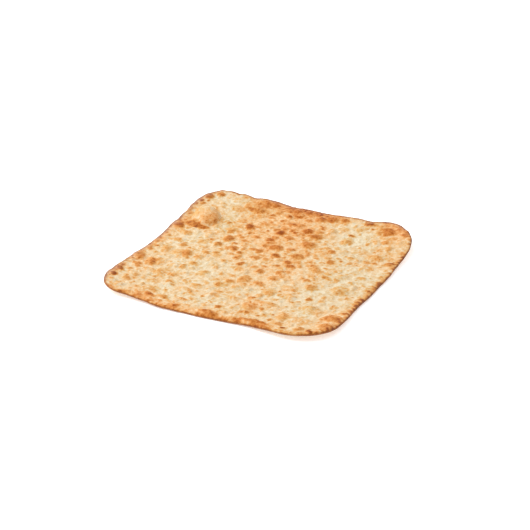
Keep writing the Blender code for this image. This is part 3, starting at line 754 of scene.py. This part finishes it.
# %% [markdown]
# ## Points and faces
# The underside was pressed on a flat floor and needs fewer points. It keeps every third row, and the faces
# along the rim simply take the points in between as extra corners.

# %% Points and faces
UNDERSIDE_STEP = 3


def lower_rows(count):
    """The rows that the underside keeps: all of the rim's, and every third of the rest."""
    rim = len(RIM_ROWS)
    inner = range(rim, count - rim, UNDERSIDE_STEP)
    return [*range(rim), *inner, *range(count - rim, count)]


def upper_faces(number):
    """The top's faces, wound to face up."""
    corners = [number[:-1, :-1], number[1:, :-1], number[1:, 1:], number[:-1, 1:]]
    return np.stack(corners, -1).reshape(-1, 4).tolist()


def lower_faces(number, kept):
    """The underside's faces, wound to face down. Along the rim they take every point of the rim."""
    faces = []
    last = kept[-1]
    for i0, i1 in zip(kept, kept[1:]):
        for j0, j1 in zip(kept, kept[1:]):
            west = range(j0, j1) if i0 == 0 else [j0]
            north = range(i0, i1) if j1 == last else [i0]
            east = range(j1, j0, -1) if i1 == last else [j1]
            south = range(i1, i0, -1) if j0 == 0 else [i1]
            ring = [(i0, j) for j in west] + [(i, j1) for i in north]
            ring += [(i1, j) for j in east] + [(i, j0) for i in south]
            faces.append([int(number[i, j]) for i, j in ring])
    return faces


upper = np.arange(x.size).reshape(x.shape)
kept = lower_rows(len(rows))
inside = np.zeros(x.shape, bool)
inside[np.ix_(kept[1:-1], kept[1:-1])] = True
lower = upper.copy()
lower[inside] = x.size + np.arange(inside.sum())
points = np.vstack([
    np.column_stack([x.ravel(), y.ravel(), top.ravel()]),
    np.column_stack([x[inside], y[inside], bottom[inside]]),
])
plan_centre = (points[:, :2].max(0) + points[:, :2].min(0)) / 2
points[:, :2] -= plan_centre
faces_up = upper_faces(upper)
faces_down = lower_faces(lower, kept)
print(len(points), "points;", 2 * len(faces_up) + sum(len(face) - 2 for face in faces_down), "triangles")

# %% [markdown]
# ## From numbers to a bread
# Blender's mesh takes the points and faces as they are. The browning goes along as a mesh attribute, which
# is a number stored at each point: the material reads it, so colour and relief can never slip apart. The
# oven's heat, the dark rim, which is burnt crust and painted shade together, and a painted sheen on the
# far edges go along too. The underside has its own browning, since it touched the oven floor where the
# sheet was low, and its rim is darkened with browning and painted shade.

# %% Build the mesh
FLOOR_CONTACT = 1.2 * MM
UNDER_TOAST = 0.24
CONTACT_TOAST = 0.3
# The underside's rim is darkened into a dark line at the bottom of the edge: browning and painted shade
# together.
UNDER_RIM_BROWNING_AND_SHADE = 0.9
UNDER_RIM_BROWNING_AND_SHADE_DEPTH = 3 * MM
UNDER_RIM_SCORCH_AND_SHADE_DEPTH = 4 * MM
# Painted sheen: a pale pinkish veil, strongest on the far west and north edges, where the crust is seen at
# a grazing angle.
SHEEN_BY_SIDE = {"east": 0.1, "north": 0.35, "west": 0.7, "south": 0.0}
SHEEN_DEPTH = 6 * MM
SHEEN_FREE_WALL = 1.2 * MM
UNDER_SHEEN = 0.3
CONTACT_CLOUDS = [(0.5, 12 * MM, 81)]
UNDER_CLOUDS = [(0.14, 5 * MM, 82)]
SHEEN_CLOUDS = [(0.4, 6 * MM, 83)]
contact = np.clip(1 - bottom / FLOOR_CONTACT, 0, 1)
floor_browning = UNDER_TOAST + CONTACT_TOAST * contact * (0.5 + layered(CONTACT_CLOUDS))
floor_browning += layered(UNDER_CLOUDS)
floor_browning += (UNDER_RIM_BROWNING_AND_SHADE - floor_browning) * near_edge(UNDER_RIM_BROWNING_AND_SHADE_DEPTH)
# The painted sheen's share at each point: by side, near the edge, and less on the wall.
painted_sheen = by_side(SHEEN_BY_SIDE) * near_edge(SHEEN_DEPTH) * (0.8 + layered(SHEEN_CLOUDS))
painted_sheen *= np.clip(inward / SHEEN_FREE_WALL, 0.25, 1)
FIELDS = {
    "painted_sheen": (painted_sheen, np.full_like(x, UNDER_SHEEN)),
    "oven_heat": (heat, heat),
    "browning": (browning, np.clip(floor_browning, 0.05, 1)),
    # The rim field carries the dark rim line of both faces, burnt crust and painted shade together.
    "rim": (burnt_and_shaded_line, near_edge(UNDER_RIM_SCORCH_AND_SHADE_DEPTH)),
}


def bread_mesh():
    """The sheet as one closed mesh that carries its fields as attributes."""
    mesh = bpy.data.meshes.new("flatbread_sheet")
    mesh.from_pydata(points.tolist(), [], faces_up + faces_down)
    mesh.shade_smooth()
    mesh.polygons.foreach_set("material_index", [0] * len(faces_up) + [1] * len(faces_down))
    for name, (above, below) in FIELDS.items():
        values = np.concatenate([above.ravel(), below[inside]])
        mesh.attributes.new(name, "FLOAT", "POINT").data.foreach_set("value", values)
    mesh.update()
    return mesh


bread = bpy.data.objects.new("flatbread_sheet", bread_mesh())
bpy.context.scene.collection.objects.link(bread)
print("closed:", not bread.data.validate())

# %% [markdown]
# ## A small kit for shader nodes
# Node trees read better when a line makes a node and joins it. `node` adds one node and fills its inputs,
# from a number, a colour or another node's output. `math` and `mix` are the kinds used most. `effect`
# starts a node group with named inputs and outputs and `give` joins its results, so that both crusts can
# use the same effect with their own values.

# %% Node helpers
def node(tree, kind, inputs=(), **settings):
    """Adds a node, sets its properties and fills or links its inputs, given by name or number."""
    new = tree.nodes.new(kind)
    for name, value in settings.items():
        setattr(new, name, value)
    for socket, value in dict(inputs).items():
        if isinstance(value, bpy.types.NodeSocket):
            tree.links.new(value, new.inputs[socket])
        else:
            new.inputs[socket].default_value = value
    return new


def math(tree, operation, first, second=0.0, third=0.0):
    """One sum on numbers or outputs."""
    made = node(tree, "ShaderNodeMath", {0: first, 1: second, 2: third}, operation=operation)
    return made.outputs[0]


def mix(tree, share, first, second):
    """Two colours mixed: the first where the share is 0, the second where it is 1."""
    return node(tree, "ShaderNodeMix", {0: share, 6: first, 7: second}, data_type="RGBA").outputs[2]


def effect(name, inputs, outputs):
    """A new node group with its input and output nodes."""
    tree = bpy.data.node_groups.new(name, "ShaderNodeTree")
    for label, value in inputs.items():
        socket = tree.interface.new_socket(label, in_out="INPUT", socket_type="NodeSocketFloat")
        socket.default_value = value
    for label, kind in outputs.items():
        tree.interface.new_socket(label, in_out="OUTPUT", socket_type=kind)
    return tree, tree.nodes.new("NodeGroupInput"), tree.nodes.new("NodeGroupOutput")


def give(tree, result, outputs):
    """Joins a group's results to its output node."""
    for label, output in outputs.items():
        tree.links.new(output, result.inputs[label])


# %% [markdown]
# ## The colours of baked dough
# Browning runs along a path: raw cream, wheat, gold, amber, chestnut, and at last char. A colour ramp
# holds the path, so one number places a bit of crust on it. Where the oven ran hot the tones are redder,
# so there are two paths, and the heat mixes them. Browner dough is also smoother on top, so the same
# number gives roughness too. The tones are as the eye names them in the finished picture, and LIGHT_LEVEL
# takes the brightness of the light out again.

# %% Toasting ramp
LIGHT_LEVEL = 1.38
HOT_TONES = [
    (0.00, (254, 225, 184)), (0.15, (251, 213, 165)), (0.30, (248, 199, 143)), (0.45, (243, 180, 114)),
    (0.60, (232, 155, 82)), (0.75, (211, 125, 48)), (0.88, (186, 98, 20)), (1.00, (150, 68, 4))]
MILD_TONES = [
    (0.00, (247, 232, 200)), (0.15, (241, 220, 183)), (0.30, (235, 206, 160)), (0.45, (237, 191, 124)),
    (0.60, (233, 171, 96)), (0.75, (215, 141, 62)), (0.88, (187, 108, 34)), (1.00, (150, 75, 10))]
PALE_ROUGHNESS = 0.75
BROWN_ROUGHNESS = 0.5


def seen(red, green, blue):
    """A colour as the eye names it in this light, 0 to 255, as the crust's own linear colour."""
    share = np.array([red, green, blue]) / 255
    linear = np.where(share <= 0.04045, share / 12.92, ((share + 0.055) / 1.055) ** 2.4) / LIGHT_LEVEL
    return (*[float(part) for part in linear], 1.0)


def toast_ramp(tree, browning, steps):
    """A colour ramp over the browning."""
    ramp = node(tree, "ShaderNodeValToRGB", {0: browning})
    tones = ramp.color_ramp.elements
    for place, colour in steps[1:-1]:
        tones.new(place).color = seen(*colour)
    tones[0].color, tones[-1].color = seen(*steps[0][1]), seen(*steps[-1][1])
    return ramp.outputs["Color"]


def toasting_effect():
    """Browning and heat in, crust colour and roughness out."""
    tree, given, result = effect(
        "toasting", {"Browning": 0.3, "Heat": 1.0},
        {"Colour": "NodeSocketColor", "Roughness": "NodeSocketFloat"})
    browning = given.outputs["Browning"]
    mild, hot = toast_ramp(tree, browning, MILD_TONES), toast_ramp(tree, browning, HOT_TONES)
    rough = node(tree, "ShaderNodeMapRange", {
        "Value": browning, "From Min": 0.2, "From Max": 0.8, "To Min": PALE_ROUGHNESS,
        "To Max": BROWN_ROUGHNESS})
    colour = mix(tree, given.outputs["Heat"], mild, hot)
    give(tree, result, {"Colour": colour, "Roughness": rough.outputs[0]})
    return tree


toasting = toasting_effect()
print("two toasting paths of", len(HOT_TONES), "tones each")

# %% [markdown]
# ## The skin between the blisters
# Close up, the skin is all tiny bubbles: each top a little browner, each valley a little paler. A Voronoi
# texture is that pattern, because it is made of cells with a middle and a border. One group gives both the
# tone and the height of the bubbles, so that a material can brown a top and raise it by the same cells. A
# second group adds clouds and grain, the uneven baking that is finer than the mesh.

# %% Bubble skin and mottle
BUBBLE_BEND = (4 * MM, 4 * MM, 0.0)
GRAINS_PER_METRE = 1400.0


def bubble_skin_effect():
    """Tiny bubbles: their browning, around 0, and their height, from 0 to 1."""
    tree, given, result = effect(
        "bubble_skin", {"Size": 3 * MM, "Browning Amount": 0.1},
        {"Browning": "NodeSocketFloat", "Height": "NodeSocketFloat"})
    place = node(tree, "ShaderNodeTexCoord").outputs["Object"]
    scale = math(tree, "DIVIDE", 1.0, given.outputs["Size"])
    bend = node(tree, "ShaderNodeTexNoise", {"Vector": place, "Scale": math(tree, "MULTIPLY", scale, 0.7)})
    bent = node(tree, "ShaderNodeVectorMath", {
        0: bend.outputs["Color"], 1: BUBBLE_BEND, 2: place}, operation="MULTIPLY_ADD")
    cells = node(tree, "ShaderNodeTexVoronoi", {"Vector": bent.outputs[0], "Scale": scale})
    dome = math(tree, "SUBTRACT", 1.0, math(tree, "POWER", cells.outputs["Distance"], 1.5))
    own = node(tree, "ShaderNodeSeparateColor", {0: cells.outputs["Color"]}).outputs[0]
    tone = math(tree, "MULTIPLY", math(tree, "SUBTRACT", dome, 0.6), math(tree, "ADD", own, 0.3))
    give(tree, result, {
        "Browning": math(tree, "MULTIPLY", tone, given.outputs["Browning Amount"]),
        "Height": math(tree, "MULTIPLY", dome, own)})
    return tree


def oven_mottle_effect():
    """Uneven baking finer than the mesh: adds cloudy and grainy noise to a browning."""
    tree, given, result = effect(
        "oven_mottle", {"Browning": 0.3, "Cloud Size": 6 * MM, "Clouds": 0.1, "Grain": 0.05},
        {"Browning": "NodeSocketFloat", "Grain Height": "NodeSocketFloat"})
    place = node(tree, "ShaderNodeTexCoord").outputs["Object"]
    cloud_scale = math(tree, "DIVIDE", 1.0, given.outputs["Cloud Size"])
    clouds = node(tree, "ShaderNodeTexNoise", {
        "Vector": place, "Scale": cloud_scale, "Detail": 4.0, "Roughness": 0.6}).outputs[0]
    grain = node(tree, "ShaderNodeTexNoise", {
        "Vector": place, "Scale": GRAINS_PER_METRE, "Detail": 2.0}).outputs[0]
    cloud_tone = math(tree, "MULTIPLY", math(tree, "SUBTRACT", clouds, 0.5), given.outputs["Clouds"])
    grain_tone = math(tree, "MULTIPLY", math(tree, "SUBTRACT", grain, 0.5), given.outputs["Grain"])
    total = math(tree, "ADD", given.outputs["Browning"], math(tree, "ADD", cloud_tone, grain_tone))
    give(tree, result, {"Browning": total, "Grain Height": grain})
    return tree


bubble_skin = bubble_skin_effect()
oven_mottle = oven_mottle_effect()
print("effects:", sorted(group.name for group in bpy.data.node_groups))

# %% [markdown]
# ## Two crusts
# The top and the underside use the same three effects with their own values. A crust reads the painted
# browning, adds clouds, grain and bubbles at two sizes, and takes its colour from the toasting paths. The
# bubbles' tone calms down on dark tops. Then the rim is darkened with a grey-brown tone, which is scorch
# and painted shade together, and last comes a painted sheen on the far edges. The underside is flatter,
# because the oven floor pressed its bubbles flat.

# %% Crust materials
# The grey-brown of the dark rim line: scorched crust and painted shade together.
SCORCH_AND_SHADE_TONE = (112, 70, 48)
# The tone of the painted sheen on the far edges.
SHEEN_TONE = (238, 214, 200)
CLOUD_SIZE = 7 * MM
BUBBLE_SIZE = 5.2 * MM
FINE_BUBBLE_SIZE = 2.3 * MM
GRAIN = 0.42
CALM = (-1.2, 1.5)
BUBBLE_HEIGHT = 0.6
GRAIN_HEIGHT = 0.35
SHINE = 0.1
TOP_CRUST = {
    "bubbles": 0.45, "fine_bubbles": 0.48, "clouds": 0.3, "rim_scorch_and_shade": 0.6, "bump_height": 0.3 * MM}
UNDERSIDE_CRUST = {
    "bubbles": 0.14, "fine_bubbles": 0.16, "clouds": 0.4, "rim_scorch_and_shade": 0.5, "bump_height": 0.12 * MM}


def field(tree, name):
    """One of the numbers that the mesh carries at each point."""
    return node(tree, "ShaderNodeAttribute", attribute_name=name).outputs["Fac"]


def use_effect(tree, group, inputs):
    """The outputs of a node group that is given its own values."""
    return node(tree, "ShaderNodeGroup", inputs, node_tree=group).outputs


def crust(name, bubbles, fine_bubbles, clouds, rim_scorch_and_shade, bump_height):
    """A crust that reads the mesh's browning and adds the skin's own variety."""
    material = bpy.data.materials.new(name)
    material.use_nodes = True
    tree = material.node_tree
    painted = field(tree, "browning")
    mottled = use_effect(tree, oven_mottle, {
        "Browning": painted, "Cloud Size": CLOUD_SIZE, "Clouds": clouds, "Grain": GRAIN})
    grain = mottled["Grain Height"]
    big = use_effect(tree, bubble_skin, {"Size": BUBBLE_SIZE, "Browning Amount": bubbles})
    little = use_effect(tree, bubble_skin, {"Size": FINE_BUBBLE_SIZE, "Browning Amount": fine_bubbles})
    calm = math(tree, "MINIMUM", 1.0, math(tree, "MULTIPLY_ADD", painted, *CALM))
    skin_tone = math(tree, "ADD", big["Browning"], little["Browning"])
    tone = math(tree, "MULTIPLY_ADD", skin_tone, calm, mottled["Browning"])
    baked = use_effect(tree, toasting, {"Browning": tone, "Heat": field(tree, "oven_heat")})
    # The dark rim line, scorch and painted shade, mixed in by the rim field.
    scorch_and_shade = math(tree, "MULTIPLY", field(tree, "rim"), math(tree, "ADD", grain, rim_scorch_and_shade - 0.5))
    # The painted sheen is mixed in last, broken up by the grain.
    sheen_share = math(tree, "MULTIPLY", field(tree, "painted_sheen"), grain)
    scorched_and_shaded = mix(tree, scorch_and_shade, baked["Colour"], seen(*SCORCH_AND_SHADE_TONE))
    height = math(tree, "MULTIPLY_ADD", big["Height"], BUBBLE_HEIGHT, little["Height"])
    height = math(tree, "MULTIPLY_ADD", grain, GRAIN_HEIGHT, height)
    bump = node(tree, "ShaderNodeBump", {"Height": height, "Strength": 1.0, "Distance": bump_height})
    shader = tree.nodes["Principled BSDF"]
    tree.links.new(mix(tree, sheen_share, scorched_and_shaded, seen(*SHEEN_TONE)), shader.inputs["Base Color"])
    tree.links.new(baked["Roughness"], shader.inputs["Roughness"])
    tree.links.new(bump.outputs["Normal"], shader.inputs["Normal"])
    shader.inputs["Specular IOR Level"].default_value = SHINE
    return material


bread.data.materials.append(crust("toasted_top", **TOP_CRUST))
bread.data.materials.append(crust("pressed_underside", **UNDERSIDE_CRUST))
print("crusts:", [material.name for material in bread.data.materials])

# %% [markdown]
# ## Floor and light
# The bread lies on a plain pale floor, in the soft light of a large window up on the left. A pale world
# fills the shadows, as white studio walls do, and the floor itself glows a little, so that the shadow
# under the bread stays faint.

# %% Floor, light and world
FLOOR_SIZE = 14.0
FLOOR_GAP = 0.2 * MM
FLOOR_FINISH = {
    "Base Color": (0.96, 0.96, 0.955, 1), "Roughness": 0.9, "Emission Color": (1, 1, 1, 1),
    "Emission Strength": 0.35}
KEY_POWER = 36.0
KEY_SIZE = 1.6
KEY_PLACE = Vector((-1.5, -0.15, 1.4))
FILL_STRENGTH = 0.92


def pale_floor():
    """A plain floor just under the bread."""
    edge = FLOOR_SIZE / 2
    corners = [(-edge, -edge, 0), (edge, -edge, 0), (edge, edge, 0), (-edge, edge, 0)]
    mesh = bpy.data.meshes.new("floor")
    mesh.from_pydata(corners, [], [(0, 1, 2, 3)])
    floor = bpy.data.objects.new("floor", mesh)
    floor.location.z = -FLOOR_GAP
    bpy.context.scene.collection.objects.link(floor)
    material = bpy.data.materials.new("pale_floor")
    material.use_nodes = True
    for name, value in FLOOR_FINISH.items():
        material.node_tree.nodes["Principled BSDF"].inputs[name].default_value = value
    mesh.materials.append(material)


def soft_light(name, place, size, power):
    """A square softbox that faces the bread."""
    data = bpy.data.lights.new(name, "AREA")
    data.size = size
    data.energy = power
    lamp = bpy.data.objects.new(name, data)
    lamp.location = place
    lamp.rotation_euler = (-place).to_track_quat("-Z", "Y").to_euler()
    bpy.context.scene.collection.objects.link(lamp)


pale_floor()
soft_light("window_light", KEY_PLACE, KEY_SIZE, KEY_POWER)
world = bpy.data.worlds.new("studio")
world.use_nodes = True
sky = world.node_tree.nodes["Background"]
sky.inputs["Color"].default_value = (1, 1, 1, 1)
sky.inputs["Strength"].default_value = FILL_STRENGTH
bpy.context.scene.world = world
bpy.context.scene.view_settings.view_transform = "Standard"
print("window light, W:", KEY_POWER, "and fill:", FILL_STRENGTH)

# %% [markdown]
# ## The camera
# The photograph looks down at the bread from about 27 degrees, with the near corner a little right of the
# middle. Those angles, the distance and the lens were found by laying the sheet's outline over the
# picture. A point of the sheet is put at its own pixel by moving the camera sideways, so no lens shift is
# needed.

# %% Camera at the photograph's angle
LOOK_DOWN = np.radians(27.31)
LOOK_ROUND = np.radians(26.38)
CAMERA_DISTANCE = 1.8
PIXELS_PER_METRE = 1006.0
PICTURE_PIXELS = 530
SENSOR = 36.0
SHEET_CENTRE_PIXEL = (262.06, 263.89)


def photo_camera():
    """A camera that sees the sheet as the photograph does."""
    back = Vector((np.sin(LOOK_ROUND) * np.cos(LOOK_DOWN), -np.cos(LOOK_ROUND) * np.cos(LOOK_DOWN),
                   np.sin(LOOK_DOWN)))
    right = Vector((np.cos(LOOK_ROUND), np.sin(LOOK_ROUND), 0))
    up = back.cross(right)
    off_right = (PICTURE_PIXELS / 2 - SHEET_CENTRE_PIXEL[0]) / PIXELS_PER_METRE
    off_down = (PICTURE_PIXELS / 2 - SHEET_CENTRE_PIXEL[1]) / PIXELS_PER_METRE
    target = Vector((-plan_centre[0], -plan_centre[1], 0)) + right * off_right - up * off_down
    data = bpy.data.cameras.new("photo_camera")
    data.sensor_width = SENSOR
    data.lens = PIXELS_PER_METRE * CAMERA_DISTANCE / PICTURE_PIXELS * SENSOR
    camera = bpy.data.objects.new("photo_camera", data)
    camera.matrix_world = Matrix((right, up, back)).transposed().to_4x4()
    camera.location = target + back * CAMERA_DISTANCE
    bpy.context.scene.collection.objects.link(camera)
    return camera


bpy.context.scene.camera = photo_camera()
print("lens, mm:", round(bpy.context.scene.camera.data.lens, 1))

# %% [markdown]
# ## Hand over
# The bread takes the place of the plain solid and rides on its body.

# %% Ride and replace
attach(bread, "root")
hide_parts("flatbread")
